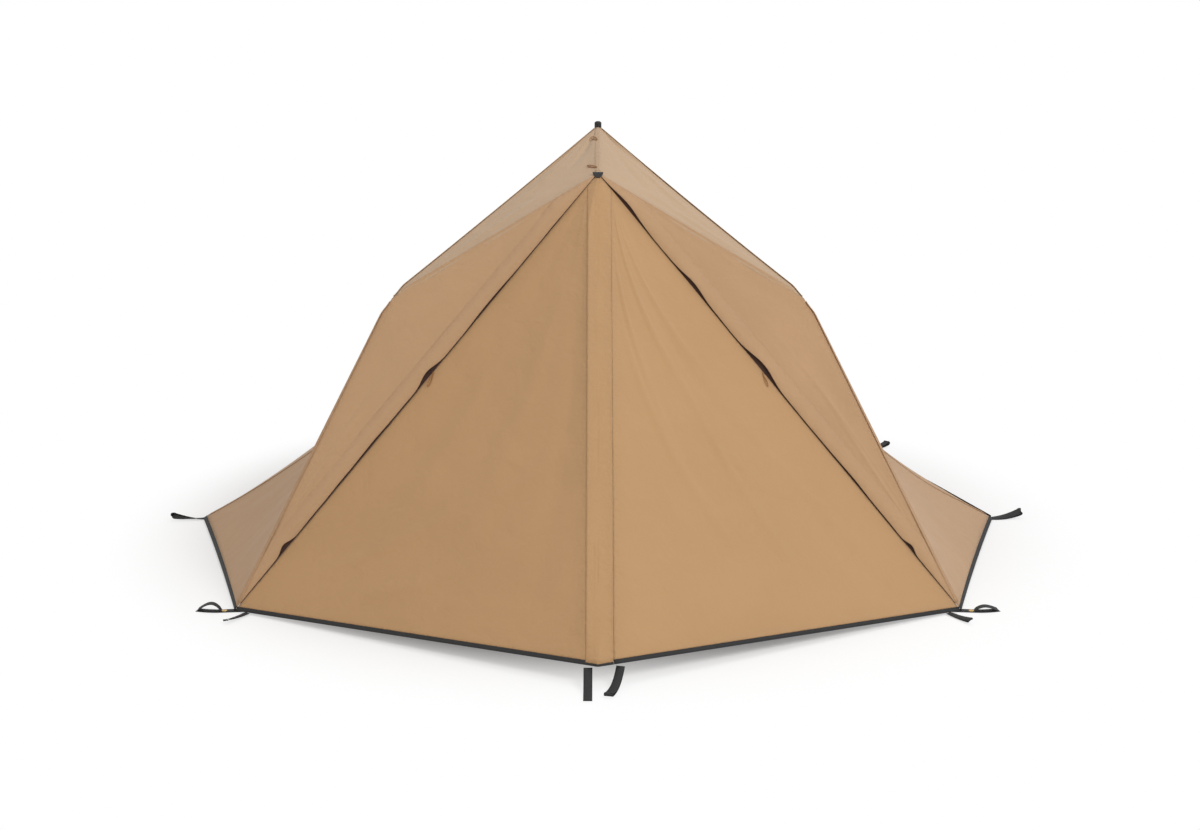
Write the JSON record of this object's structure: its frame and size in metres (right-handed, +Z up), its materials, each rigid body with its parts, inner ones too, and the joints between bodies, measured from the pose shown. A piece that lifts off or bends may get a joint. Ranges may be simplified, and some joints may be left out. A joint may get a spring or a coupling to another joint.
{
  "type": "camping tent",
  "caption": "Small octagonal canvas tent with a centre pole, a leaning arch pole and two zipped front door halves under storm flaps, black hem tape and peg loops",
  "frame": {"origin": "on the ground under the peak, at the middle of the part's outline", "axes": "+X to the right of someone who faces the doors, +Y away from them towards the back, +Z up"},
  "size_m": [3.2704, 3.4852, 1.503],
  "materials": {
    "canvas_roof": "matt woven cotton canvas, pale sand, lighter than the walls",
    "canvas": "matt woven cotton canvas, warm sand",
    "black_tape": "black woven tape, webbing and zip",
    "tan_cord": "thin twisted tan cord",
    "zip_metal": "black painted die-cast slider",
    "pole_metal": "drawn tube, natural",
    "black_rubber": "matt black moulded",
    "brass": "pressed eyelet, plain"
  },
  "bodies": {
    "tent": {"apex_patch": "black_tape", "arch_apex_joint": "pole_metal", "arch_elbow_left": "pole_metal", "arch_elbow_right": "pole_metal", "arch_foot_left": "black_rubber", "arch_foot_right": "black_rubber", "arch_leg_left": "pole_metal", "arch_leg_right": "pole_metal", "arch_rafter_left": "pole_metal", "arch_rafter_right": "pole_metal", "corner_eyelet_left": "brass", "corner_eyelet_right": "brass", "corner_strap_left": "black_tape", "corner_strap_right": "black_tape", "main_pole_foot": "black_rubber", "main_pole_lower": "pole_metal", "main_pole_tip": "black_rubber", "main_pole_upper": "pole_metal", "peak_cap": "black_tape", "rear_hem": "black_tape", "rear_panel_left": "canvas", "rear_panel_right": "canvas", "rear_peg_loop": "black_tape", "rear_side_panel_left": "canvas", "rear_side_panel_right": "canvas", "rear_side_peg_loop_left": "black_tape", "rear_side_peg_loop_right": "black_tape", "ridge_cord_lower": "tan_cord", "ridge_cord_upper": "tan_cord", "roof_panel_left": "canvas_roof", "roof_panel_right": "canvas_roof", "shoulder_panel_left": "canvas", "shoulder_panel_right": "canvas", "side_hem_left": "black_tape", "side_hem_right": "black_tape", "side_panel_left": "canvas", "side_panel_right": "canvas", "side_peg_loop_left": "black_tape", "side_peg_loop_right": "black_tape", "storm_flap_left": "canvas", "storm_flap_right": "canvas", "zip_chain_left": "black_tape", "zip_chain_right": "black_tape"},
    "door_left": {"door_panel_left": "canvas", "door_hem_left": "black_tape", "front_peg_loop_left": "black_tape", "door_corner_loop_left": "black_tape", "centre_flap": "canvas"},
    "slider_left": {"zip_slider_left": "zip_metal"},
    "puller_left": {"zip_puller_left": "tan_cord"},
    "door_right": {"door_panel_right": "canvas", "door_hem_right": "black_tape", "front_peg_loop_right": "black_tape", "door_corner_loop_right": "black_tape"},
    "slider_right": {"zip_slider_right": "zip_metal"},
    "puller_right": {"zip_puller_right": "tan_cord"}
  },
  "joints": [
    {"name": "door_left", "type": "hinge", "parent": "tent", "child": "door_left", "pos_m": [-0.5546, -0.66397, 0.71976], "axis": [-0.6183, -0.3458, -0.7058], "range_deg": [0, 95]},
    {"name": "zip_slider_left", "type": "slide", "parent": "tent", "child": "slider_left", "axis": [-0.6183, -0.3458, -0.7058], "range_m": [-0.711, 0.747]},
    {"name": "zip_puller_left", "type": "hinge", "parent": "slider_left", "child": "puller_left", "pos_m": [-0.5546, -0.66397, 0.71976], "axis": [-0.6183, -0.3458, -0.7058], "range_deg": [0, 95]},
    {"name": "door_right", "type": "hinge", "parent": "tent", "child": "door_right", "pos_m": [0.5546, -0.66397, 0.71976], "axis": [-0.6183, 0.3458, 0.7058], "range_deg": [0, 95]},
    {"name": "zip_slider_right", "type": "slide", "parent": "tent", "child": "slider_right", "axis": [0.6183, -0.3458, -0.7058], "range_m": [-0.711, 0.747]},
    {"name": "zip_puller_right", "type": "hinge", "parent": "slider_right", "child": "puller_right", "pos_m": [0.5546, -0.66397, 0.71976], "axis": [-0.6183, 0.3458, 0.7058], "range_deg": [0, 95]}
  ],
  "couplings": [
    {"joint": "zip_puller_left", "follows": "door_left", "ratio": 1},
    {"joint": "zip_puller_right", "follows": "door_right", "ratio": 1}
  ]
}
